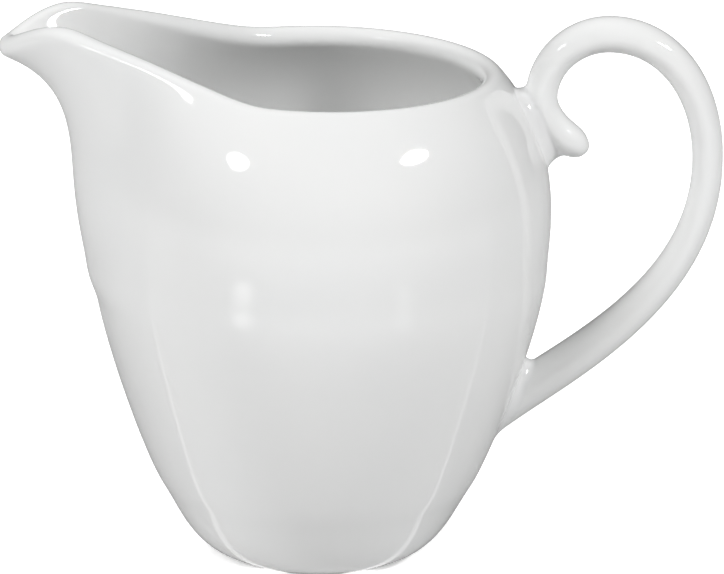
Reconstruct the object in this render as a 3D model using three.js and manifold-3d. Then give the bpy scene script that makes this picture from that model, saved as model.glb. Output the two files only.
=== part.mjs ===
// A small glazed porcelain cream jug. The vessel is cast in one piece with its pouring lip and foot
// ring. The loop handle, with its scrolled spur, is cast by itself and stuck on with clay slip at two
// places, high on the shoulder and low on the wall.
// Millimetres, +Z up, standing on Z = 0. The lip pours along -X and the handle is at +X.

import * as THREE from 'three';
import { LoftGeometry } from 'three/addons/geometries/LoftGeometry.js';
import { mergeVertices } from 'three/addons/utils/BufferGeometryUtils.js';
import Module from 'manifold-3d';

const wasm = await Module();
wasm.setup();

// ---- Driving dimensions -------------------------------------------------------------------------

// Vessel, outside
const rimHeight = 90.1;
const rimRadius = 32.3;
const rimLean = 42; // degrees that the wall leans inwards where it meets the rim
const bellyRadius = 41.3;
const bellyHeight = 55.1;
const heelRadius = 29;
const heelHeight = 14.1;
const heelLean = 32.2; // degrees that the wall leans outwards at the heel

// Fullness of the wall's curves: how far each runs on straight, as a share of its own length
const footRun = 0.35;
const footRoll = 0.088; // and how far it has risen by then
const heelRunBelow = 0.345;
const heelRunAbove = 0.11;
const bellyRunBelow = 0.26;
const bellyRunAbove = 0.134;
const rimRun = 0.53;

// Vessel, wall and foot
const wallThickness = 3.8;
const lipThickness = 4.2;
const lipBlend = 12; // the wall thickens to the lip over this height
const footRadius = 17;
const footWidth = 3.2;
const footHeight = 0.5;
const footEdge = 0.4; // softened edges of the foot ring
const recessDepth = 1.6;
const recessSlope = 1.2;

// Pouring lip: a ridge down the front, a flare at the top, a raised edge and a dipped nose
const ridgeReach = 5.2;
const ridgeLength = 41.3;
const ridgeToe = 0.5; // the ridge starts with a small rounded step
const ridgeToeLength = 4;
const ridgeAngle = 40.1; // degrees to each side of the spout
const ridgeFall = 2; // how fast it falls away to the sides
const flareReach = 19.3;
const flareDepth = 5.5;
const flareAngle = 64.7;
const flareFall = 2.73;
const lipRise = 9.6;
const lipRiseDepth = 14.1;
const lipRiseBend = 2.02; // how late the edge starts to rise
const lipRiseAngle = 76.9;
const lipRiseFall = 2.71;
const noseDip = 7.7;
const noseAngle = 23.8;
const noseFall = 2;

// Handle centre line: the neck stands beside the shoulder, the arch rises over it, the bow is the
// furthest reach, and the tail runs down into the lower seat
const neckGap = 0.95; // between the vessel's wall and the neck's inner side
const neckDrop = 4.1; // below the rim
const archRise = 7.7; // above the rim
const archOut = 12.1; // from the neck
const bowOut = 28.4; // from the belly
const bowDrop = 16.1; // below the rim
const bowPull = 24;
const archRound = 0.55; // how square each quarter turn is
const bowRound = 0.58;
const tailHeight = 28.4;
const tailAngle = 36.9; // degrees above level, leaving the wall
const tailPull = 15;
const tailSink = 3.2; // the strap runs on into the wall by this many of its half thicknesses
const spurOut = 8.9; // from the neck
const spurDrop = 9.1; // below the neck
const spurPull = 4;

// Handle section, half sizes across the strap in the loop's plane and half its breadth
const neckHalf = 2.9;
const archHalf = 3.25;
const bowHalf = 2.75;
const tailHalf = 3.75;
const spurHalf = 3.1;
const spurTipLength = 5.5;
const spurTipHalf = 0.6;
const strapBreadthRatio = 1.18;

// Joints of clay slip between the handle and the wall
const clearance = 0.3; // between neighbouring solids
const slipThickness = 0.4;
const collarWidth = 0.9;
const collarHeight = 0.8;

// The same slip fills the corner under the spur: its reach down the wall and out along the spur
const webDrop = 13.5; // of its foot, below the neck
const webOut = 6.2; // of its outer end, from the neck
const webHalf = 1.6; // half its breadth between its rounded sides
const webRound = 1.2;

// Fineness of the surfaces
const ringSteps = 72;
const ringCrowding = 0.3; // closer together at the spout
const wallSteps = 26;
const wallCrowding = 0.08; // closer together at the foot and at the rim
const lipSteps = 6;
const strapSteps = 48;
const strapTipSteps = 4; // closer together at the spur's tip
const strapSides = 16;
const slopeStep = 0.02; // for slopes taken between two near points
const searchSteps = 40;
const webBeadSides = 24;

// ---- Vessel --------------------------------------------------------------------------------------

const bell = (share, power) => Math.pow(Math.max(0, 1 - share * share), power);

// How far the pouring lip moves a point of the round wall. The angle is measured from the spout.
function spoutShift(angle, height) {
  const turned = THREE.MathUtils.euclideanModulo(THREE.MathUtils.radToDeg(angle) + 180, 360);
  const degrees = Math.abs(turned - 180);
  const below = rimHeight - height;
  const toe = ridgeToe * THREE.MathUtils.smoothstep(ridgeLength - below, 0, ridgeToeLength);
  const slope = (ridgeReach - ridgeToe) * Math.max(0, 1 - below / ridgeLength);
  const ridge = (toe + slope) * bell(degrees / ridgeAngle, ridgeFall);
  const flareShare = Math.exp(-below / flareDepth);
  const flare = flareReach * flareShare * bell(degrees / flareAngle, flareFall);
  const riseShare = Math.pow(Math.max(0, 1 - below / lipRiseDepth), lipRiseBend);
  const rise = lipRise * riseShare * bell(degrees / lipRiseAngle, lipRiseFall);
  const dip = noseDip * flareShare * bell(degrees / noseAngle, noseFall);
  return { out: ridge + flare, up: rise - dip };
}

function wallPoint(angle, radius, height) {
  const shift = spoutShift(angle, height);
  return new THREE.Vector3(
    -radius * Math.cos(angle) - shift.out,
    -radius * Math.sin(angle),
    height + shift.up,
  );
}

// The wall's outline from the foot to the rim, as radius and height
function wallOutline() {
  const heelTangent = new THREE.Vector2(
    Math.sin(THREE.MathUtils.degToRad(heelLean)),
    Math.cos(THREE.MathUtils.degToRad(heelLean)),
  );
  const rimTangent = new THREE.Vector2(
    -Math.sin(THREE.MathUtils.degToRad(rimLean)),
    Math.cos(THREE.MathUtils.degToRad(rimLean)),
  );
  const foot = new THREE.Vector2(footRadius + footEdge, footHeight);
  const heel = new THREE.Vector2(heelRadius, heelHeight);
  const belly = new THREE.Vector2(bellyRadius, bellyHeight);
  const rim = new THREE.Vector2(rimRadius, rimHeight);
  const heelSpan = heel.distanceTo(foot);
  const waist = bellyHeight - heelHeight;
  const shoulder = rimHeight - bellyHeight;
  const outline = new THREE.CurvePath();
  outline.add(new THREE.CubicBezierCurve(
    foot,
    new THREE.Vector2(foot.x + heelSpan * footRun, foot.y + heelSpan * footRoll),
    heel.clone().addScaledVector(heelTangent, -heelSpan * heelRunBelow),
    heel,
  ));
  outline.add(new THREE.CubicBezierCurve(
    heel,
    heel.clone().addScaledVector(heelTangent, waist * heelRunAbove),
    new THREE.Vector2(bellyRadius, bellyHeight - waist * bellyRunBelow),
    belly,
  ));
  outline.add(new THREE.CubicBezierCurve(
    belly,
    new THREE.Vector2(bellyRadius, bellyHeight + shoulder * bellyRunAbove),
    rim.clone().addScaledVector(rimTangent, -shoulder * rimRun),
    rim,
  ));
  return outline;
}

const outline = wallOutline();

// Stations along the outline, closer together at the foot and at the rim
function wallStations(count) {
  const stations = [];
  for (let i = 0; i <= count; i++) {
    const share = i / count - wallCrowding * Math.sin((2 * Math.PI * i) / count);
    const point = outline.getPointAt(share);
    const tangent = outline.getTangentAt(share);
    stations.push({ radius: point.x, height: point.y, tangent });
  }
  return stations;
}

// The point of the wall at a station, with the outward normal and the direction up the wall
function wallFrame(angle, station) {
  const step = slopeStep;
  const { radius, height, tangent } = station;
  const point = wallPoint(angle, radius, height);
  const up = wallPoint(angle, radius + step * tangent.x, height + step * tangent.y)
    .sub(wallPoint(angle, radius - step * tangent.x, height - step * tangent.y))
    .normalize();
  const round = wallPoint(angle + step / radius, radius, height)
    .sub(wallPoint(angle - step / radius, radius, height))
    .normalize();
  const normal = new THREE.Vector3().crossVectors(up, round).negate().normalize();
  return { point, normal, up };
}

// Angles of a ring, a little closer together at the spout
function ringAngles() {
  return Array.from({ length: ringSteps }, (_, i) => {
    const turn = (2 * Math.PI * i) / ringSteps;
    return turn - ringCrowding * Math.sin(turn);
  });
}

const angles = ringAngles();
const stations = wallStations(wallSteps);

function flatRing(radius, height) {
  return angles.map((angle) => {
    const x = -radius * Math.cos(angle);
    const y = -radius * Math.sin(angle);
    return new THREE.Vector3(x, y, height);
  });
}

function thicknessAt(height) {
  const share = THREE.MathUtils.smoothstep(height, rimHeight - lipBlend, rimHeight);
  return THREE.MathUtils.lerp(wallThickness, lipThickness, share);
}

function vesselGeometry() {
  const footInside = footRadius - footWidth;
  const sections = [
    flatRing(0, recessDepth),
    flatRing(footInside - recessSlope, recessDepth),
    flatRing(footInside, footEdge),
    flatRing(footInside + footEdge, 0),
    flatRing(footRadius - footEdge, 0),
    flatRing(footRadius, footEdge),
  ];
  const frames = stations.map((station) => angles.map((angle) => wallFrame(angle, station)));
  for (const ring of frames) sections.push(ring.map((frame) => frame.point));
  // the rounded lip, half a turn from the outer face to the inner face
  const half = lipThickness / 2;
  for (let i = 1; i < lipSteps; i++) {
    const turn = (Math.PI * i) / lipSteps;
    sections.push(frames.at(-1).map(({ point, normal, up }) =>
      point.clone()
        .addScaledVector(normal, half * (Math.cos(turn) - 1))
        .addScaledVector(up, half * Math.sin(turn))));
  }
  for (let i = wallSteps; i >= 0; i--) {
    const thickness = thicknessAt(stations[i].height);
    sections.push(frames[i].map(({ point, normal }) =>
      point.clone().addScaledVector(normal, -thickness)));
  }
  sections.push(flatRing(0, footHeight + wallThickness));
  return new LoftGeometry(sections);
}

// The vessel's outside as one full solid, grown by an offset, to cut its neighbours with
function skinGeometry(offset) {
  const sections = [flatRing(footRadius, -offset)];
  for (const station of stations) {
    sections.push(angles.map((angle) => {
      const { point, normal } = wallFrame(angle, station);
      return point.addScaledVector(normal, offset);
    }));
  }
  return new LoftGeometry(sections, { capStart: true, capEnd: true });
}

// ---- Handle --------------------------------------------------------------------------------------

// The wall's radius at a height, on the side away from the spout
function radiusAt(height) {
  let low = 0;
  let high = 1;
  for (let i = 0; i < searchSteps; i++) {
    const middle = (low + high) / 2;
    if (outline.getPointAt(middle).y < height) low = middle;
    else high = middle;
  }
  return outline.getPointAt(low).x;
}

// A quarter turn drawn as one cubic curve, leaving along startAxis. A round of 0.5523 is an ellipse,
// and more is squarer.
function quarterTurn(from, to, startAxis, round) {
  const first = from.clone();
  const second = to.clone();
  const other = startAxis === 'x' ? 'z' : 'x';
  first[startAxis] += round * (to[startAxis] - from[startAxis]);
  second[other] += round * (from[other] - to[other]);
  return new THREE.CubicBezierCurve3(from, first, second, to);
}

const neckHeight = rimHeight - neckDrop;
const neck = new THREE.Vector3(radiusAt(neckHeight) + neckGap + neckHalf, 0, neckHeight);
const arch = new THREE.Vector3(neck.x + archOut, 0, rimHeight + archRise);
const bow = new THREE.Vector3(bellyRadius + bowOut, 0, rimHeight - bowDrop);
const seat = new THREE.Vector3(radiusAt(tailHeight), 0, tailHeight);
const spurTip = new THREE.Vector3(neck.x + spurOut, 0, neck.z - spurDrop);
const tailWay = new THREE.Vector3(
  Math.cos(THREE.MathUtils.degToRad(tailAngle)),
  0,
  Math.sin(THREE.MathUtils.degToRad(tailAngle)),
);
const tailEnd = seat.clone().addScaledVector(tailWay, -tailSink * tailHalf);

const strapLine = new THREE.CurvePath();
strapLine.add(new THREE.CubicBezierCurve3(
  spurTip,
  new THREE.Vector3(spurTip.x - spurPull, 0, spurTip.z),
  new THREE.Vector3(neck.x, 0, neck.z - spurPull),
  neck,
));
strapLine.add(quarterTurn(neck, arch, 'z', archRound));
strapLine.add(quarterTurn(arch, bow, 'x', bowRound));
strapLine.add(new THREE.CubicBezierCurve3(
  bow,
  new THREE.Vector3(bow.x, 0, bow.z - bowPull),
  seat.clone().addScaledVector(tailWay, tailPull),
  seat,
));
strapLine.add(new THREE.LineCurve3(seat, tailEnd));

// Half the strap's thickness along the centre line, at the joints of its curves
function strapHalf(share) {
  const lengths = strapLine.getCurveLengths();
  const total = lengths.at(-1);
  const places = [0, ...lengths.slice(0, -1).map((length) => length / total), 1];
  const halves = [spurHalf, neckHalf, archHalf, bowHalf, tailHalf, tailHalf];
  const next = Math.max(1, places.findIndex((place, i) => i > 0 && share <= place));
  const part = THREE.MathUtils.smoothstep(share, places[next - 1], places[next]);
  const half = THREE.MathUtils.lerp(halves[next - 1], halves[next], part);
  const fromTip = Math.min(1, (share * total) / spurTipLength);
  return THREE.MathUtils.lerp(spurTipHalf, half, Math.sqrt(1 - (1 - fromTip) ** 2));
}

function strapGeometry(grow) {
  const sections = [];
  for (let i = 0; i <= strapSteps; i++) {
    const crowded = i < strapTipSteps ? (i * i) / strapTipSteps : i;
    const share = crowded / strapSteps;
    const centre = strapLine.getPointAt(share);
    const way = strapLine.getTangentAt(share);
    const across = new THREE.Vector3(way.z, 0, -way.x);
    const half = strapHalf(share) + grow;
    const breadth = strapHalf(share) * strapBreadthRatio + grow;
    sections.push(Array.from({ length: strapSides }, (_, side) => {
      const turn = (2 * Math.PI * side) / strapSides;
      return centre.clone()
        .addScaledVector(across, half * Math.cos(turn))
        .setY(breadth * Math.sin(turn));
    }));
  }
  return new LoftGeometry(sections, { capStart: true, capEnd: true });
}

// ---- Solids --------------------------------------------------------------------------------------

function solidOf(geometry) {
  const bare = new THREE.BufferGeometry();
  bare.setAttribute('position', geometry.getAttribute('position'));
  bare.setIndex(geometry.index);
  const merged = mergeVertices(bare, 1e-4);
  return new wasm.Manifold(new wasm.Mesh({
    numProp: 3,
    vertProperties: new Float32Array(merged.attributes.position.array),
    triVerts: new Uint32Array(merged.index.array),
  }));
}

function geometryOf(solid) {
  const mesh = solid.getMesh();
  const geometry = new THREE.BufferGeometry();
  geometry.setAttribute('position', new THREE.BufferAttribute(mesh.vertProperties, 3));
  geometry.setIndex(new THREE.BufferAttribute(mesh.triVerts, 1));
  geometry.computeVertexNormals();
  return geometry;
}

const largestFirst = (solid) => solid.decompose().sort((a, b) => b.volume() - a.volume());
const middleHeight = (solid) => {
  const box = solid.boundingBox();
  return (box.min[2] + box.max[2]) / 2;
};

const skin = (offset) => solidOf(skinGeometry(offset));
const strap = (grow) => solidOf(strapGeometry(grow));

const seatDepth = clearance + slipThickness + clearance;
const handleSolid = largestFirst(strap(0).subtract(skin(seatDepth)))[0];

// The slip squeezed between the strap and the wall, with a collar of it round the strap
const collars = strap(clearance + collarWidth)
  .intersect(skin(seatDepth + collarHeight))
  .subtract(skin(clearance))
  .subtract(strap(clearance).subtract(skin(clearance + slipThickness)));
const [upperCollar, lowerSlip] = largestFirst(collars)
  .slice(0, 2)
  .sort((a, b) => middleHeight(b) - middleHeight(a));

// The web of slip in the corner between the spur's underside and the wall
function webSolid() {
  const bead = wasm.Manifold.sphere(webRound, webBeadSides);
  const footHeight = neck.z - webDrop + webRound;
  const corners = [
    [radiusAt(footHeight), footHeight],
    [neck.x + webOut, spurTip.z - spurHalf + webRound],
    [neck.x, spurTip.z],
  ];
  const beads = corners.flatMap(([x, z]) =>
    [-webHalf, webHalf].map((y) => bead.translate([x, y, z])));
  return wasm.Manifold.hull(beads).subtract(skin(clearance)).subtract(strap(clearance));
}

const upperSlip = largestFirst(upperCollar.add(webSolid()))[0];

// ---- Assembly ------------------------------------------------------------------------------------

const glaze = () => new THREE.MeshStandardMaterial({ color: 0xf3f3f1, roughness: 0.12, metalness: 0 });

function piece(name, geometry) {
  const mesh = new THREE.Mesh(geometry, glaze());
  mesh.name = name;
  return mesh;
}

const jug = new THREE.Group();
jug.add(piece('vessel', vesselGeometry()));
jug.add(piece('handle', geometryOf(handleSolid)));
jug.add(piece('upper_luting', geometryOf(upperSlip)));
jug.add(piece('lower_luting', geometryOf(lowerSlip)));

// The origin is under the middle of the whole jug, from the lip's nose to the handle's bow
const whole = new THREE.Box3().setFromObject(jug);
jug.position.x = -(whole.min.x + whole.max.x) / 2;

const model = new THREE.Group();
model.add(jug);

export default model;
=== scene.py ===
from bisect import bisect_left
from math import acos, atan2, cos, exp, hypot, pi, radians, sin, sqrt, tan

import bpy
from mathutils import Matrix, Vector
from mathutils.geometry import interpolate_bezier


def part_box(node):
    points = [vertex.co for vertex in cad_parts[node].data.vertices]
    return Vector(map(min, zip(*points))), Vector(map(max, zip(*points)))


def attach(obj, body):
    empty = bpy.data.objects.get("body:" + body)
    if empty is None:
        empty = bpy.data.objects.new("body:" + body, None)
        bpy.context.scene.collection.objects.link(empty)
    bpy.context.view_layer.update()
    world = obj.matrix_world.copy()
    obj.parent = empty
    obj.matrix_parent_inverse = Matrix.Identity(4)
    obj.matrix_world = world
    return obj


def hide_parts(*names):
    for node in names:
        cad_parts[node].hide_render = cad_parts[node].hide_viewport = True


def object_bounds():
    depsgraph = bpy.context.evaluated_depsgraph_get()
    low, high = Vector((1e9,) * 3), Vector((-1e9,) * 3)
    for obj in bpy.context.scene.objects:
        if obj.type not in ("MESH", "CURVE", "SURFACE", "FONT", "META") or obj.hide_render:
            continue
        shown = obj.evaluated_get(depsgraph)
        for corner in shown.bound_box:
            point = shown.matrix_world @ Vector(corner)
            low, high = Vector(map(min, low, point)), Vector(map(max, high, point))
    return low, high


# a small glazed porcelain jug: a cast vessel with its lip drawn out, a cast handle, two slip joints
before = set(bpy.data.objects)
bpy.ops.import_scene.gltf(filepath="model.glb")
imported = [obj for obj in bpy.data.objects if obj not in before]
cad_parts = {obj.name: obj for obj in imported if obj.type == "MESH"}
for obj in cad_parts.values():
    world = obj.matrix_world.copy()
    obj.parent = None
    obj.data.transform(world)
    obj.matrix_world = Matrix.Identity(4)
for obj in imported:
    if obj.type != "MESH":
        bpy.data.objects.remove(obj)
cadLow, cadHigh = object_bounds()
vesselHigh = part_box("vessel")[1]
mm = 0.001
axisX = vesselHigh.x - vesselHigh.y  # the wall is round at the back, so the axis is one radius in
jugCentre = (cadLow + cadHigh) / 2
print("frame loaded, the vessel's axis at x =", round(axisX / mm, 2), "mm")


def smoothShare(value, start, end):
    share = min(1, max(0, (value - start) / (end - start)))
    return share * share * (3 - 2 * share)


def blend(a, b, share):
    return a + (b - a) * share


def bell(share, power):
    return max(0, 1 - share * share) ** power


def inRow(point):
    # from mm about the vessel's axis to metres in the frame
    return Vector((axisX + point.x * mm, point.y * mm, point.z * mm))


def runningLengths(points):
    lengths = [0]
    for a, b in zip(points, points[1:]):
        lengths.append(lengths[-1] + (b - a).length)
    return lengths


def placeIn(values, wanted):
    # the second of the two neighbours in a rising row that wanted lies between
    return min(len(values) - 1, max(1, bisect_left(values, wanted)))


def alongLine(points, lengths, wanted):
    # the place at a length along a row of points, and the way the line runs there
    high = placeIn(lengths, wanted)
    low = high - 1
    share = (wanted - lengths[low]) / (lengths[high] - lengths[low])
    before, after = points[max(0, low - 1)], points[min(len(points) - 1, high + 1)]
    way = (points[high] - before).lerp(after - points[low], share).normalized()
    return points[low].lerp(points[high], share), way


def chooseOnly(piece):
    bpy.ops.object.select_all(action="DESELECT")
    piece.select_set(True)
    bpy.context.view_layer.objects.active = piece


def beginEdit(piece, mode="FACE"):
    chooseOnly(piece)
    bpy.ops.object.mode_set(mode="EDIT")
    bpy.ops.mesh.select_mode(type=mode)


def endEdit():
    bpy.ops.object.mode_set(mode="OBJECT")


def pickFaces(piece, wanted):
    # wanted says of a face, by its place and shape, whether it is to be selected
    bpy.ops.mesh.select_all(action="DESELECT")
    endEdit()
    for face in piece.data.polygons:
        face.select = wanted(face)
    bpy.ops.object.mode_set(mode="EDIT")


def pickEdges(piece, wanted):
    # wanted says the same of an edge, by the places of its two ends
    bpy.ops.mesh.select_all(action="DESELECT")
    endEdit()
    vertices = piece.data.vertices
    for edge in piece.data.edges:
        edge.select = wanted(*(vertices[i].co for i in edge.vertices))
    bpy.ops.object.mode_set(mode="EDIT")


def turnOutwards():
    bpy.ops.mesh.select_all(action="SELECT")
    bpy.ops.mesh.normals_make_consistent(inside=False)


def startRing(name, sides, halfSizes, place, tilt):
    # a filled circle at its size and place, with its object left at the origin
    bpy.ops.object.select_all(action="DESELECT")
    bpy.ops.mesh.primitive_circle_add(vertices=sides, radius=1, fill_type="NGON", location=place)
    ring = bpy.context.object
    ring.name = ring.data.name = name
    ring.rotation_euler.y = tilt
    ring.scale = (*halfSizes, 1)
    bpy.ops.object.transform_apply(location=True, rotation=True, scale=True)
    return ring


def smoothOnce(piece):
    chooseOnly(piece)
    modifier = piece.modifiers.new("Smooth", "SUBSURF")
    modifier.levels = modifier.render_levels = 1
    modifier.use_limit_surface = False
    bpy.ops.object.modifier_apply(modifier=modifier.name)


def finishPiece(piece, materials, node, sharpAngle):
    chooseOnly(piece)
    bpy.ops.object.shade_smooth_by_angle(angle=radians(sharpAngle))
    for material in materials:
        piece.data.materials.append(material)
    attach(piece, "root")
    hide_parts(node)
    print(piece.name, "made:", len(piece.data.polygons), "faces")


def linearColour(hexValue):
    channels = [int(hexValue[i:i + 2], 16) / 255 for i in (1, 3, 5)]
    return [c / 12.92 if c <= 0.04045 else ((c + 0.055) / 1.055) ** 2.4 for c in channels] + [1]


def addNode(tree, kind, settings=None, links=None):
    node = tree.nodes.new(kind)
    for key, value in (settings or {}).items():
        if isinstance(key, int) or key in node.inputs:
            node.inputs[key].default_value = value
        else:
            setattr(node, key, value)
    for key, source in (links or {}).items():
        tree.links.new(source, node.inputs[key])
    return node


def newMaterial(name):
    material = bpy.data.materials.new(name)
    material.use_nodes = True
    tree = material.node_tree
    shader = tree.nodes["Principled BSDF"]
    place = addNode(tree, "ShaderNodeTexCoord")
    return material, tree, shader, place.outputs["Object"]


def glazedPorcelain(name, look):
    # White hard-paste porcelain under a clear fired glaze: nearly pure white, a sharp wet gloss, and
    # reflections that waver slightly where the glaze ran a little thicker
    material, tree, shader, place = newMaterial(name)
    cloud = addNode(tree, "ShaderNodeTexNoise",
                    {"Scale": 1 / (look["cloudSize"] * mm), "Detail": 3, "Roughness": 0.55},
                    {"Vector": place})
    tint = addNode(tree, "ShaderNodeMix",
                   {"data_type": "RGBA", 6: linearColour(look["thinGlaze"]),
                    7: linearColour(look["thickGlaze"])},
                   {0: cloud.outputs["Fac"]})
    gloss = addNode(tree, "ShaderNodeMapRange",  # the noise seldom leaves this middle range
                    {"From Min": 0.3, "From Max": 0.7, "To Min": look["glossiest"],
                     "To Max": look["dullest"]},
                    {"Value": cloud.outputs["Fac"]})
    waver = addNode(tree, "ShaderNodeTexNoise",
                    {"Scale": 1 / (look["waverSize"] * mm), "Detail": 1},
                    {"Vector": place})
    peel = addNode(tree, "ShaderNodeTexNoise",
                   {"Scale": 1 / (look["peelSize"] * mm), "Detail": 2},
                   {"Vector": place})
    waverBump = addNode(tree, "ShaderNodeBump",
                        {"Strength": 1, "Distance": look["waverDepth"] * mm},
                        {"Height": waver.outputs["Fac"]})
    peelBump = addNode(tree, "ShaderNodeBump",
                       {"Strength": 1, "Distance": look["peelDepth"] * mm},
                       {"Height": peel.outputs["Fac"], "Normal": waverBump.outputs["Normal"]})
    tree.links.new(tint.outputs[2], shader.inputs["Base Color"])
    tree.links.new(gloss.outputs["Result"], shader.inputs["Roughness"])
    tree.links.new(peelBump.outputs["Normal"], shader.inputs["Normal"])
    shader.inputs["IOR"].default_value = look["ior"]
    return material


def biscuitPorcelain(name, look):
    # The foot stands bare in the kiln and is rubbed smooth afterwards: matt, slightly warm and grainy
    material, tree, shader, place = newMaterial(name)
    grain = addNode(tree, "ShaderNodeTexNoise",
                    {"Scale": 1 / (look["grainSize"] * mm), "Detail": 4, "Roughness": 0.7},
                    {"Vector": place})
    tint = addNode(tree, "ShaderNodeMix",
                   {"data_type": "RGBA", 6: linearColour(look["dark"]), 7: linearColour(look["light"])},
                   {0: grain.outputs["Fac"]})
    bump = addNode(tree, "ShaderNodeBump", {"Strength": 1, "Distance": look["grainDepth"] * mm},
                   {"Height": grain.outputs["Fac"]})
    tree.links.new(tint.outputs[2], shader.inputs["Base Color"])
    tree.links.new(bump.outputs["Normal"], shader.inputs["Normal"])
    shader.inputs["Roughness"].default_value = look["roughness"]
    return material


bodyGlaze = glazedPorcelain("Clear glaze over cast porcelain", {
    "thinGlaze": "#E9E9E8", "thickGlaze": "#E4E5E5", "cloudSize": 30,
    "glossiest": 0.04, "dullest": 0.08, "ior": 1.5,
    "waverSize": 9, "waverDepth": 0.02, "peelSize": 0.9, "peelDepth": 0.0012})
jointGlaze = glazedPorcelain("Clear glaze over luting slip", {
    "thinGlaze": "#E8E8E8", "thickGlaze": "#E2E3E3", "cloudSize": 8,
    "glossiest": 0.05, "dullest": 0.1, "ior": 1.5,
    "waverSize": 3, "waverDepth": 0.03, "peelSize": 0.9, "peelDepth": 0.0012})
footBiscuit = biscuitPorcelain("Bare biscuit porcelain, rubbed smooth", {
    "dark": "#DAD5CB", "light": "#EEEAE2", "grainSize": 0.25, "grainDepth": 0.01, "roughness": 0.75})
print("materials made")


vessel = {  # mm and degrees; each pull is a share of its curve's span
    "rimHeight": 90.1, "rimRadius": 32.3, "rimLean": 42,  # inwards at the rim
    "bellyRadius": 41.3, "bellyHeight": 55.1,
    "heelRadius": 29, "heelHeight": 14.1, "heelLean": 32.2,  # outwards at the heel
    "footPullOut": 0.35, "footPullUp": 0.088, "heelPullBelow": 0.345, "heelPullAbove": 0.11,
    "bellyPullBelow": 0.26, "bellyPullAbove": 0.134, "rimPull": 0.53, "curveSteps": 80,
    "wall": 3.8, "lipWall": 4.2, "lipBlend": 12, "lipCuts": 7,
    "ringSides": 144, "crowding": 0.25, "rows": 62, "rowCrowding": 0.35,
    "weld": 0.01, "probe": 0.02, "sharpAngle": 50,  # slopes are taken over the probe's step
    "foot": {"radius": 17, "edge": 0.4, "edgeCuts": 3, "height": 0.5, "width": 3.2, "recess": 1.6,
             "slope": 1.2, "bareBelow": 0.08},
    "lip": {  # how the soft clay is drawn out into the pouring lip; angles are from the spout
        "ridgeReach": 5.2, "ridgeLength": 41.3, "ridgeToe": 0.5, "ridgeToeLength": 4,
        "ridgeAngle": 40.1, "ridgeFall": 2,
        "flareReach": 19.3, "flareDepth": 5.5, "flareAngle": 64.7, "flareFall": 2.73,
        "rise": 9.6, "riseDepth": 14.1, "riseBend": 2.02, "riseAngle": 76.9, "riseFall": 2.71,
        "noseDip": 7.7, "noseAngle": 23.8, "noseFall": 2,
    },
}
foot, lip = vessel["foot"], vessel["lip"]


def wallOutline():
    # the outside of the wall from foot to rim, as radius and height in mm
    footPoint = Vector((foot["radius"] + foot["edge"], foot["height"]))
    heel = Vector((vessel["heelRadius"], vessel["heelHeight"]))
    belly = Vector((vessel["bellyRadius"], vessel["bellyHeight"]))
    rim = Vector((vessel["rimRadius"], vessel["rimHeight"]))
    footWay = Vector((vessel["footPullOut"], vessel["footPullUp"]))
    heelWay = Vector((sin(radians(vessel["heelLean"])), cos(radians(vessel["heelLean"]))))
    bellyWay = Vector((0, 1))
    rimWay = Vector((-sin(radians(vessel["rimLean"])), cos(radians(vessel["rimLean"]))))
    base, waist, shoulder = (heel - footPoint).length, belly.y - heel.y, rim.y - belly.y
    curves = [
        (footPoint, footPoint + footWay * base, heel - heelWay * vessel["heelPullBelow"] * base, heel),
        (heel, heel + heelWay * vessel["heelPullAbove"] * waist,
         belly - bellyWay * vessel["bellyPullBelow"] * waist, belly),
        (belly, belly + bellyWay * vessel["bellyPullAbove"] * shoulder,
         rim - rimWay * vessel["rimPull"] * shoulder, rim),
    ]
    points = [footPoint]
    for curve in curves:
        points += interpolate_bezier(*curve, vessel["curveSteps"])[1:]
    return points


outline = wallOutline()
outlineHeights = [point.y for point in outline]


def outlineRows():
    # places and ways along the outline, a little closer together towards the rim
    lengths = runningLengths(outline)
    rows = []
    for i in range(vessel["rows"] + 1):
        share = i / vessel["rows"]
        wanted = lengths[-1] * share * (1 + vessel["rowCrowding"] * (1 - share))
        rows.append(alongLine(outline, lengths, wanted))
    return rows


def lipPull(angle, height):
    # how far the lip's forming moves a point of the round wall: outwards from the spout, and up
    turn = abs(angle) * 180 / pi
    below = vessel["rimHeight"] - height
    toe = lip["ridgeToe"] * smoothShare(lip["ridgeLength"] - below, 0, lip["ridgeToeLength"])
    slope = (lip["ridgeReach"] - lip["ridgeToe"]) * max(0, 1 - below / lip["ridgeLength"])
    ridge = (toe + slope) * bell(turn / lip["ridgeAngle"], lip["ridgeFall"])
    fade = exp(-below / lip["flareDepth"])
    flare = lip["flareReach"] * fade * bell(turn / lip["flareAngle"], lip["flareFall"])
    riseShare = max(0, 1 - below / lip["riseDepth"]) ** lip["riseBend"]
    rise = lip["rise"] * riseShare * bell(turn / lip["riseAngle"], lip["riseFall"])
    dip = lip["noseDip"] * fade * bell(turn / lip["noseAngle"], lip["noseFall"])
    return ridge + flare, rise - dip


def wallPoint(angle, radius, height):
    out, up = lipPull(angle, height)
    return Vector((-radius * cos(angle) - out, -radius * sin(angle), height + up))


def wallFrame(angle, row):
    # the drawn wall's point, its normal and the way up it, at an angle from the spout
    point, way = row
    step = vessel["probe"]
    here = wallPoint(angle, point.x, point.y)
    up = wallPoint(angle, *(point + way * step)) - wallPoint(angle, *(point - way * step))
    turn = step / point.x
    sideways = wallPoint(angle + turn, *point) - wallPoint(angle - turn, *point)
    return here, sideways.cross(up).normalized(), up.normalized()


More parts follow.
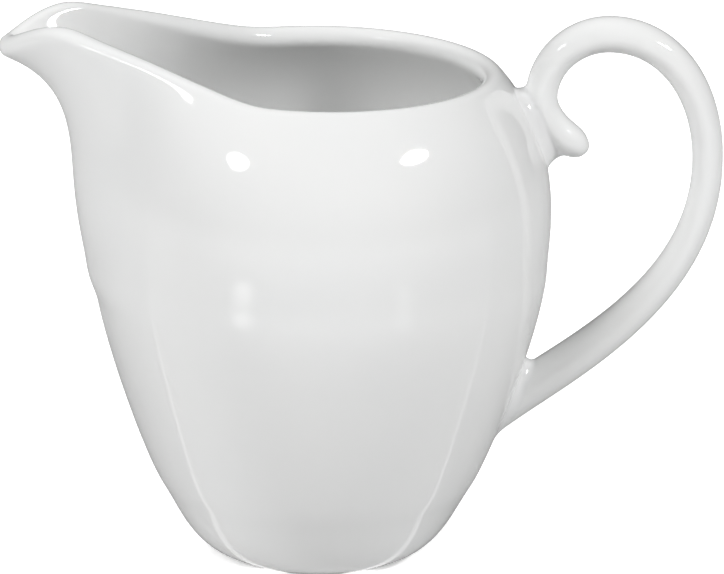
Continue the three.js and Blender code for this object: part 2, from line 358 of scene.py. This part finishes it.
def wallStops(rows):
    # the whole cut wall, up the outside, over the rim and down the inside: each stop says its row,
    # and how far in from the outside and up past the rim it lies
    half = vessel["lipWall"] / 2
    last = len(rows) - 1
    stops = [(i, 0, 0) for i in range(last + 1)]
    for i in range(1, vessel["lipCuts"] + 1):
        turn = pi * i / (vessel["lipCuts"] + 1)
        stops.append((last, half * (1 - cos(turn)), half * sin(turn)))
    for i in range(last, -1, -1):
        height = rows[i][0].y
        nearRim = smoothShare(height, vessel["rimHeight"] - vessel["lipBlend"], vessel["rimHeight"])
        stops.append((i, blend(vessel["wall"], vessel["lipWall"], nearRim), 0))
    return stops


def isUnderside(face):
    # the one many-sided face close to the ground
    return len(face.vertices) > 4 and face.center.z < mm


def spinWall(profile):
    # the profile is drawn as a chain from one point, then spun round the axis
    bpy.ops.object.select_all(action="DESELECT")
    start = (axisX + profile[0].x * mm, 0, profile[0].y * mm)
    bpy.ops.mesh.primitive_plane_add(size=mm, location=start)
    piece = bpy.context.object
    piece.name = piece.data.name = "jug_body"
    bpy.ops.object.transform_apply(location=True)
    beginEdit(piece, "VERT")
    bpy.ops.mesh.select_all(action="SELECT")
    bpy.ops.mesh.merge(type="CENTER")
    for last, now in zip(profile, profile[1:]):
        bpy.ops.mesh.extrude_region_move(TRANSFORM_OT_translate={
            "value": ((now.x - last.x) * mm, 0, (now.y - last.y) * mm)})
    bpy.ops.mesh.select_all(action="SELECT")
    bpy.ops.mesh.spin(steps=vessel["ringSides"], angle=2 * pi, use_auto_merge=True,
                      center=(axisX, 0, 0), axis=(0, 0, 1))
    bpy.ops.mesh.select_all(action="SELECT")
    bpy.ops.mesh.remove_doubles(threshold=vessel["weld"] * mm)
    bpy.ops.mesh.fill_holes(sides=0)  # closes the underside and the floor
    bpy.ops.mesh.select_mode(type="FACE")
    pickFaces(piece, isUnderside)
    for width in ("edge", "width", "slope"):  # rings for the foot
        bpy.ops.mesh.inset(thickness=foot[width] * mm)
    turnOutwards()
    endEdit()
    return piece


def drawLip(piece, profile, stops, rows):
    # the lip is drawn out of the round wall, and the wall keeps its thickness
    stopOf = {(round(point.x, 2), round(point.y, 2)): stop for point, stop in zip(profile, stops)}
    for vertex in piece.data.vertices:
        radius = hypot(vertex.co.x - axisX, vertex.co.y) / mm
        stop = stopOf.get((round(radius, 2), round(vertex.co.z / mm, 2)))
        if stop is None:  # the foot's rings aren't part of the profile
            continue
        row, inwards, upwards = stop
        angle = atan2(-vertex.co.y, axisX - vertex.co.x)
        angle -= vessel["crowding"] * sin(angle)  # closer together at the spout
        here, normal, up = wallFrame(angle, rows[row])
        vertex.co = inRow(here - normal * inwards + up * upwards)


def isFootRing(face):
    radius = hypot(face.center.x - axisX, face.center.y) / mm
    low = face.center.z < foot["recess"] * mm / 2
    return low and foot["radius"] - foot["width"] < radius < foot["radius"]


def isGroundCircle(a, b):
    # an edge on the ground that runs round the axis, and not across the ring
    across = abs(hypot(a.x - axisX, a.y) - hypot(b.x - axisX, b.y))
    return max(a.z, b.z) < foot["height"] * mm / 10 and across < foot["width"] * mm / 2


def shapeFoot(piece):
    beginEdit(piece)
    pickFaces(piece, isUnderside)
    bpy.ops.transform.translate(value=(0, 0, (foot["recess"] - foot["height"]) * mm))
    pickFaces(piece, isFootRing)
    bpy.ops.mesh.extrude_region_move(TRANSFORM_OT_translate={"value": (0, 0, -foot["height"] * mm)})
    bpy.ops.mesh.select_mode(type="EDGE")
    pickEdges(piece, isGroundCircle)
    bpy.ops.mesh.bevel(offset=foot["edge"] * mm, segments=foot["edgeCuts"], profile=0.5)
    endEdit()


def makeVessel():
    rows = outlineRows()
    stops = wallStops(rows)
    profile = []
    for row, inwards, upwards in stops:
        point, way = rows[row]
        profile.append(point - Vector((way.y, -way.x)) * inwards + way * upwards)
    piece = spinWall(profile)
    drawLip(piece, profile, stops, rows)
    shapeFoot(piece)
    smoothOnce(piece)
    finishPiece(piece, [bodyGlaze, footBiscuit], "vessel", vessel["sharpAngle"])
    for face in piece.data.polygons:
        if face.center.z < foot["bareBelow"] * mm:
            face.material_index = 1


makeVessel()


strap = {  # mm and degrees, along the handle from the spur's tip over the neck, arch and bow to the tail
    "neckGap": 0.95, "neckDrop": 4.1, "archRise": 7.7, "archOut": 12.1,
    "bowOut": 28.4, "bowDrop": 16.1, "bowPull": 24, "archRound": 0.55, "bowRound": 0.58,
    "tailHeight": 28.4, "tailAngle": 36.9, "tailPull": 15, "tailSink": 12,
    "spurOut": 8.9, "spurDrop": 9.1, "spurPull": 4,
    "neckHalf": 2.9, "archHalf": 3.25, "bowHalf": 2.75, "tailHalf": 3.75, "spurHalf": 3.1,
    "tipLength": 5.5, "tipHalf": 0.6, "breadth": 1.18,
    "sides": 48, "rings": 110, "tipPart": 6, "tipCrowding": 0.06,  # more rings in the first sixth
    "curveSteps": 200, "sharpAngle": 50,
    "hiddenDepth": 2.0,  # how far the ends run on inside the wall
}


def wallRadius(height):
    # the round wall's radius in mm at a height in mm, away from the lip, and its slope there
    high = placeIn(outlineHeights, height)
    a, b = outline[high - 1], outline[high]
    slope = (b.x - a.x) / (b.y - a.y)
    return a.x + slope * (height - a.y), slope


def wallDepth(point):
    # how far a point in mm from the axis stands outside the wall, and the wall's normal there
    radius, slope = wallRadius(point.z)
    reach = hypot(point.x, point.y)
    level = 1 / sqrt(1 + slope * slope)
    normal = Vector((point.x / reach * level, point.y / reach * level, -slope * level))
    return (reach - radius) * level, normal


def strapCurves():
    neckHeight = vessel["rimHeight"] - strap["neckDrop"]
    neckX = wallRadius(neckHeight)[0] + strap["neckGap"] + strap["neckHalf"]
    neck = Vector((neckX, 0, neckHeight))
    arch = Vector((neckX + strap["archOut"], 0, vessel["rimHeight"] + strap["archRise"]))
    bow = Vector((vessel["bellyRadius"] + strap["bowOut"], 0, vessel["rimHeight"] - strap["bowDrop"]))
    seat = Vector((wallRadius(strap["tailHeight"])[0], 0, strap["tailHeight"]))
    tip = Vector((neckX + strap["spurOut"], 0, neckHeight - strap["spurDrop"]))
    up, out = Vector((0, 0, 1)), Vector((1, 0, 0))
    tail = Vector((cos(radians(strap["tailAngle"])), 0, sin(radians(strap["tailAngle"]))))
    end = seat - tail * strap["tailSink"]
    rise, drop = arch - neck, bow - arch
    return [
        (tip, tip - out * strap["spurPull"], neck - up * strap["spurPull"], neck),
        (neck, neck + up * strap["archRound"] * rise.z, arch - out * strap["archRound"] * rise.x, arch),
        (arch, arch + out * strap["bowRound"] * drop.x, bow - up * strap["bowRound"] * drop.z, bow),
        (bow, bow - up * strap["bowPull"], seat + tail * strap["tailPull"], seat),
        (seat, seat.lerp(end, 1 / 3), seat.lerp(end, 2 / 3), end),
    ]


def traceStrap():
    # the line's points, the length at each, and the length where each curve begins and the last ends
    points, ends = [], [0]
    for curve in strapCurves():
        points += interpolate_bezier(*curve, strap["curveSteps"])[1 if points else 0:]
        ends.append(len(points) - 1)
    lengths = runningLengths(points)
    return points, lengths, [lengths[i] for i in ends]


linePoints, lineLengths, curveEnds = traceStrap()
lineEnd = lineLengths[-1]
bowLength = curveEnds[3]
halfAtEnds = [strap[k] for k in ("spurHalf", "neckHalf", "archHalf", "bowHalf", "tailHalf", "tailHalf")]


def strapFrame(length):
    # the centre, the way along, the way across in the loop's plane, and half the thickness
    length = min(lineEnd, max(0, length))
    centre, way = alongLine(linePoints, lineLengths, length)
    part = placeIn(curveEnds, length)
    share = smoothShare(length, curveEnds[part - 1], curveEnds[part])
    half = blend(halfAtEnds[part - 1], halfAtEnds[part], share)
    fromTip = min(1, length / strap["tipLength"])
    half = blend(strap["tipHalf"], half, sqrt(1 - (1 - fromTip) ** 2))
    return centre, way, Vector((way.z, 0, -way.x)), half


def strapPoint(length, turn):
    centre, way, across, half = strapFrame(length)
    point = centre + across * half * cos(turn)
    point.y = half * strap["breadth"] * sin(turn)
    return point


def makeHandle():
    stations = []
    for i in range(strap["rings"] + 1):
        share = i / strap["rings"]
        tipShare = min(1, share * strap["tipPart"])
        share -= strap["tipCrowding"] * sin(pi * tipShare) / strap["tipPart"]
        centre, way, across, half = strapFrame(lineEnd * share)
        stations.append((centre, atan2(way.x, way.z), half))
    centre, tilt, half = stations[0]
    piece = startRing("jug_handle", strap["sides"], (half * mm, half * strap["breadth"] * mm),
                      inRow(centre), tilt)
    beginEdit(piece)
    bpy.ops.mesh.select_all(action="SELECT")
    for (lastCentre, lastTilt, lastHalf), (centre, tilt, half) in zip(stations, stations[1:]):
        bpy.ops.mesh.extrude_region_move(TRANSFORM_OT_translate={"value": (centre - lastCentre) * mm})
        turn = atan2(sin(tilt - lastTilt), cos(tilt - lastTilt))  # the short way round
        bpy.ops.transform.rotate(value=-turn, orient_axis="Y", center_override=inRow(centre))
        bpy.ops.transform.resize(value=[half / lastHalf] * 3, center_override=inRow(centre))
    turnOutwards()
    endEdit()
    for vertex in piece.data.vertices:  # what runs on inside the wall stays within it
        point = Vector((vertex.co.x - axisX, vertex.co.y, vertex.co.z)) / mm
        if point.z > vessel["rimHeight"]:
            continue
        depth, normal = wallDepth(point)
        if depth < -strap["hiddenDepth"]:
            vertex.co = inRow(point - normal * (depth + strap["hiddenDepth"]))
    smoothOnce(piece)
    finishPiece(piece, [bodyGlaze], "handle", strap["sharpAngle"])


makeHandle()


joint = {  # mm, degrees; web and top are the extra slip in the corners below and above the neck
    "upper": {"soft": 1.25, "least": 1.5, "most": 4.0, "web": 4.0, "top": 0.8},
    "lower": {"soft": 1.2, "least": 2.2, "most": 4.4, "web": 0, "top": 0},
    "cornerPower": 4, "flange": 0.35, "sunk": 0.03, "buried": 0.9,
    "loopSteps": 96, "sections": 16, "sharpAngle": 40,
    "neckFrom": 2, "neckTo": 14, "patchReach": 12, "turnReach": 3,  # where the neck's patch is sought
    "tailFrom": 10,  # past the bow, well before the tail reaches the wall
    "probe": 0.05, "searchReach": 8, "halvings": 40, "patchHalvings": 30,
}


def strapNormal(length, turn):
    step = joint["probe"]
    along = strapPoint(length + step, turn) - strapPoint(length - step, turn)
    sideways = strapPoint(length, turn + step) - strapPoint(length, turn - step)
    normal = along.cross(sideways).normalized()
    outwards = strapPoint(length, turn) - strapFrame(length)[0]
    return normal if normal.dot(outwards) > 0 else -normal


def onStrap(point, near):
    # the nearest place on the strap's surface to a point, as length along and turn round
    low, high = near - joint["searchReach"], near + joint["searchReach"]
    flat = Vector((point.x, 0, point.z))
    for _ in range(joint["halvings"]):
        a, b = low + (high - low) / 3, high - (high - low) / 3
        if (strapFrame(a)[0] - flat).length < (strapFrame(b)[0] - flat).length:
            high = b
        else:
            low = a
    length = (low + high) / 2
    centre, way, across, half = strapFrame(length)
    return length, atan2(point.y / (half * strap["breadth"]), (point - centre).dot(across) / half)


def onWall(point):
    for _ in range(4):  # the wall is curved, so it takes a few steps
        depth, normal = wallDepth(point)
        point = point - normal * depth
    return point


def lowerLoop():
    # where each line along the strap first runs into the wall at the tail
    loop = []
    for i in range(joint["loopSteps"]):
        turn = 2 * pi * i / joint["loopSteps"]
        low, high = bowLength + joint["tailFrom"], lineEnd
        for _ in range(joint["halvings"]):
            middle = (low + high) / 2
            if wallDepth(strapPoint(middle, turn))[0] > 0:
                low = middle
            else:
                high = middle
        loop.append((low, turn))
    return loop


def upperLoop():
    # the edge of the patch where the neck lies in the shoulder, found outwards from its middle
    tenths = range(joint["neckFrom"] * 10, joint["neckTo"] * 10)
    middle = min((wallDepth(strapPoint(s / 10, pi))[0], s / 10) for s in tenths)[1]

    def patchPlace(reach, way):
        return middle + reach * cos(way), pi + reach / joint["turnReach"] * sin(way)

    loop = []
    for i in range(joint["loopSteps"]):
        way = 2 * pi * i / joint["loopSteps"]
        low, high = 0, joint["patchReach"]
        for step in range(1, joint["patchReach"] * 10 + 1):  # the first crossing outwards
            if wallDepth(strapPoint(*patchPlace(step / 10, way)))[0] > 0:
                low, high = (step - 1) / 10, step / 10
                break
        for _ in range(joint["patchHalvings"]):
            reach = (low + high) / 2
            if wallDepth(strapPoint(*patchPlace(reach, way)))[0] < 0:
                low = reach
            else:
                high = reach
        loop.append(patchPlace(low, way))
    return loop


def alongSurface(way, normal):
    return (way - normal * way.dot(normal)).normalized()


def filletSection(place, sizes):
    # from the wall's side of the corner round to the strap's side, with a buried edge behind
    length, turn = place
    corner = strapPoint(length, turn)
    wallNormal = wallDepth(corner)[1]
    sideNormal = strapNormal(length, turn)
    upWall = alongSurface(sideNormal, wallNormal)
    upStrap = alongSurface(wallNormal, sideNormal)
    opening = acos(max(-1, min(1, upWall.dot(upStrap))))
    reach = min(sizes["most"], max(sizes["least"], sizes["soft"] / tan(opening / 2)))
    reach += sizes["web"] * max(0, -upWall.z) ** joint["cornerPower"]
    reach += sizes["top"] * max(0, upWall.z) ** joint["cornerPower"]
    base = onWall(corner + upWall * reach)
    headPlace = onStrap(corner + upStrap * reach, length)
    head = strapPoint(*headPlace)
    baseNormal = wallDepth(base)[1]
    headNormal = strapNormal(*headPlace)
    baseWay = alongSurface(corner - base, baseNormal)
    headWay = alongSurface(corner - head, headNormal)
    # this pull makes the curve an arc where wall and strap are flat
    pull = 4 / 3 * tan((pi - opening) / 4) * reach * tan(opening / 2)
    curve = interpolate_bezier(base, base + baseWay * pull, head + headWay * pull, head,
                               joint["sections"])
    sunkBase = base - baseWay * joint["flange"] - baseNormal * joint["sunk"]
    sunkHead = head - headWay * joint["flange"] - headNormal * joint["sunk"]
    inner = corner - (wallNormal + sideNormal).normalized() * joint["buried"]
    return [sunkBase, *curve, sunkHead, inner]


def makeJoint(name, node, loop, sizes):
    sections = [filletSection(place, sizes) for place in loop]
    count, across = len(sections), len(sections[0])
    faces = []
    for i in range(count):
        here, there = i * across, (i + 1) % count * across
        for k in range(across):
            beside = (k + 1) % across
            faces.append((here + k, here + beside, there + beside, there + k))
    mesh = bpy.data.meshes.new(name)
    mesh.from_pydata([inRow(point) for section in sections for point in section], [], faces)
    piece = bpy.data.objects.new(name, mesh)
    bpy.context.scene.collection.objects.link(piece)
    beginEdit(piece)
    turnOutwards()
    endEdit()
    finishPiece(piece, [jointGlaze], node, joint["sharpAngle"])


makeJoint("slip_joint_upper", "upper_luting", upperLoop(), joint["upper"])
makeJoint("slip_joint_lower", "lower_luting", lowerLoop(), joint["lower"])


paper = {  # mm, but the sheet's own size in metres; a glow is an emission strength
    "light": "#FFFFFF", "dark": "#FBFBFB", "fibreSize": 2.5, "size": 8, "roughness": 0.9, "gloss": 0.1,
    "seenGlow": 0.5, "thrown": "#B6B6B6",
    "panelEdge": -14, "panelGlow": 0.29, "rimGlow": 1.0, "rimWidth": 2.0,
    "paintedLightPools": [  # painted pools of light on the paper before the jug, glowing where stray light would fall, placed from its axis
        {"x": -106, "y": -154, "across": 26, "along": 48, "glow": 2.8},
        {"x": 112, "y": -143, "across": 20, "along": 38, "glow": 1.3},
    ],
}


def addPaintedLightPool(tree, place, lightPool):
    # a painted pool of light: an oval of glow that fades outwards, with its long side towards the jug
    centred = addNode(tree, "ShaderNodeVectorMath",
                      {"operation": "SUBTRACT", 1: (axisX + lightPool["x"] * mm, lightPool["y"] * mm, 0)},
                      {0: place})
    turned = addNode(tree, "ShaderNodeVectorRotate",
                     {"rotation_type": "Z_AXIS", "Angle": atan2(-lightPool["x"], -lightPool["y"])},
                     {"Vector": centred.outputs[0]})
    shrunk = addNode(tree, "ShaderNodeVectorMath",
                     {"operation": "DIVIDE", 1: (lightPool["across"] * mm, lightPool["along"] * mm, 1)},
                     {0: turned.outputs[0]})
    reach = addNode(tree, "ShaderNodeVectorMath", {"operation": "LENGTH"}, {0: shrunk.outputs[0]})
    return addNode(tree, "ShaderNodeMapRange",
                   {"interpolation_type": "SMOOTHSTEP", "From Min": 1, "From Max": 0,
                    "To Min": 0, "To Max": lightPool["glow"]},
                   {"Value": reach.outputs["Value"]})


def paperGlow(tree, place):
    # painted glow on the paper, which the jug sees but the camera doesn't: a brighter panel lies in front
    # of the jug, and its near edge, brighter still, shows in the glaze as a painted reflection, a fine
    # line
    split = addNode(tree, "ShaderNodeSeparateXYZ", {}, {"Vector": place})
    inFront = addNode(tree, "ShaderNodeMath", {"operation": "LESS_THAN", 1: paper["panelEdge"] * mm},
                      {0: split.outputs["Y"]})
    pastRim = addNode(tree, "ShaderNodeMath",
                      {"operation": "LESS_THAN", 1: (paper["panelEdge"] - paper["rimWidth"]) * mm},
                      {0: split.outputs["Y"]})
    panel = addNode(tree, "ShaderNodeMapRange",
                    {"To Min": paper["rimGlow"], "To Max": paper["panelGlow"]},
                    {"Value": pastRim.outputs[0]})
    glow = addNode(tree, "ShaderNodeMath", {"operation": "MULTIPLY"},
                   {0: inFront.outputs[0], 1: panel.outputs["Result"]})
    # the painted pools of light add their glow to the panel's
    for lightPool in paper["paintedLightPools"]:
        spot = addPaintedLightPool(tree, place, lightPool)
        glow = addNode(tree, "ShaderNodeMath", {"operation": "ADD"},
                       {0: glow.outputs[0], 1: spot.outputs["Result"]})
    return glow


def makeFloor():
    # Matt white paper on a light table: even, dull, and lit through where it is seen directly
    bpy.ops.object.select_all(action="DESELECT")
    bpy.ops.mesh.primitive_plane_add(size=paper["size"], location=(0, 0, 0))
    floor = bpy.context.object
    floor.name = "studio_floor"
    material, tree, shader, place = newMaterial("Matt white paper on a light table")
    fibre = addNode(tree, "ShaderNodeTexNoise", {"Scale": 1 / (paper["fibreSize"] * mm), "Detail": 2},
                    {"Vector": place})
    tint = addNode(tree, "ShaderNodeMix",
                   {"data_type": "RGBA", 6: linearColour(paper["dark"]), 7: linearColour(paper["light"])},
                   {0: fibre.outputs["Fac"]})
    # it throws less back on the jug than the eye sees of it
    path = addNode(tree, "ShaderNodeLightPath")
    isSeen = path.outputs["Is Camera Ray"]
    shade = addNode(tree, "ShaderNodeMix", {"data_type": "RGBA", 6: linearColour(paper["thrown"])},
                    {0: isSeen, 7: tint.outputs[2]})
    glow = addNode(tree, "ShaderNodeMix", {"data_type": "FLOAT", 3: paper["seenGlow"]},
                   {0: isSeen, 2: paperGlow(tree, place).outputs[0]})
    tree.links.new(shade.outputs[2], shader.inputs["Base Color"])
    tree.links.new(glow.outputs[0], shader.inputs["Emission Strength"])
    shader.inputs["Emission Color"].default_value = (1, 1, 1, 1)
    shader.inputs["Roughness"].default_value = paper["roughness"]
    shader.inputs["Specular IOR Level"].default_value = paper["gloss"]
    floor.data.materials.append(material)


# azimuth to the camera's right and elevation in degrees, sizes in metres; those that aren't reflected
# only fill, and make no highlight in the glaze
lights = {
    "left box": {"azimuth": -48.5, "elevation": 33, "size": (0.17, 0.14), "brightness": 12},
    "left bounce": {"azimuth": -48.5, "elevation": 33, "size": (0.6, 0.6), "brightness": 5.7,
                    "reflected": False},
    "right box": {"azimuth": 57, "elevation": 35.5, "size": (0.24, 0.10), "brightness": 88},
    "back left": {"azimuth": -135, "elevation": 45, "size": (0.4, 0.4), "brightness": 7.6,
                  "reflected": False},
    "back right": {"azimuth": 135, "elevation": 45, "size": (0.4, 0.4), "brightness": 2,
                   "reflected": False},
}
studio = {
    "lightDistance": 0.9, "aimShare": 0.8,  # metres, and a share of the vessel's height
    "horizon": "#9A9A9A", "overhead": "#F0F0F0", "horizonLevel": -0.1, "overheadLevel": 0.9,
    "strength": 0.04, "backdrop": "#FFFFFF",
}


def addSoftbox(name, sizes):
    azimuth, elevation = radians(sizes["azimuth"]), radians(sizes["elevation"])
    way = Vector((sin(azimuth) * cos(elevation), -cos(azimuth) * cos(elevation), sin(elevation)))
    light = bpy.data.lights.new(name, "AREA")
    light.shape = "ELLIPSE"
    light.size, light.size_y = sizes["size"]
    area = pi / 4 * light.size * light.size_y
    light.energy = sizes["brightness"] * pi * area  # brightness is the face's, whatever its size
    lamp = bpy.data.objects.new(name, light)
    lamp.visible_glossy = sizes.get("reflected", True)
    aim = Vector((jugCentre.x, jugCentre.y, vesselHigh.z * studio["aimShare"]))
    lamp.location = aim + way * studio["lightDistance"]
    lamp.rotation_euler = (-way).to_track_quat("-Z", "Y").to_euler()
    bpy.context.scene.collection.objects.link(lamp)


def makeWorld():
    # dim grey walls light the jug, and the camera sees a white backdrop
    world = bpy.data.worlds.new("studio")
    world.use_nodes = True
    bpy.context.scene.world = world
    tree = world.node_tree
    tree.nodes.clear()
    way = addNode(tree, "ShaderNodeTexCoord")
    split = addNode(tree, "ShaderNodeSeparateXYZ", {}, {"Vector": way.outputs["Generated"]})
    height = addNode(tree, "ShaderNodeMapRange",
                     {"From Min": studio["horizonLevel"], "From Max": studio["overheadLevel"]},
                     {"Value": split.outputs["Z"]})
    walls = addNode(tree, "ShaderNodeMix",
                    {"data_type": "RGBA", 6: linearColour(studio["horizon"]),
                     7: linearColour(studio["overhead"])},
                    {0: height.outputs["Result"]})
    around = addNode(tree, "ShaderNodeBackground", {"Strength": studio["strength"]},
                     {"Color": walls.outputs[2]})
    seen = addNode(tree, "ShaderNodeBackground",
                   {"Color": linearColour(studio["backdrop"]), "Strength": 1})
    path = addNode(tree, "ShaderNodeLightPath")
    both = addNode(tree, "ShaderNodeMixShader", {},
                   {0: path.outputs["Is Camera Ray"], 1: around.outputs[0], 2: seen.outputs[0]})
    addNode(tree, "ShaderNodeOutputWorld", {}, {"Surface": both.outputs[0]})


view = {  # mm from the vessel's axis and the ground, the lens's focal length in mm, degrees of roll
    "back": 859, "height": 313.7, "aimAcross": 7.71, "aimHeight": 49.7, "roll": 1.025, "lens": 245.6,
    "nearest": 50, "farthest": 50000,
}


def makeCamera():
    camera = bpy.data.objects.new("camera", bpy.data.cameras.new("camera"))
    camera.data.lens = view["lens"]
    camera.location = (axisX, -view["back"] * mm, view["height"] * mm)
    aim = Vector((axisX + view["aimAcross"] * mm, 0, view["aimHeight"] * mm))
    look = (aim - camera.location).to_track_quat("-Z", "Y").to_matrix()
    camera.rotation_euler = (look @ Matrix.Rotation(radians(view["roll"]), 3, "Z")).to_euler()
    camera.data.clip_start, camera.data.clip_end = view["nearest"] * mm, view["farthest"] * mm
    bpy.context.scene.collection.objects.link(camera)
    bpy.context.scene.camera = camera


makeFloor()
for lightName, lightSizes in lights.items():
    addSoftbox(lightName, lightSizes)
makeWorld()
makeCamera()
bpy.context.scene.view_settings.view_transform = "Standard"
print("floor, light and camera made")
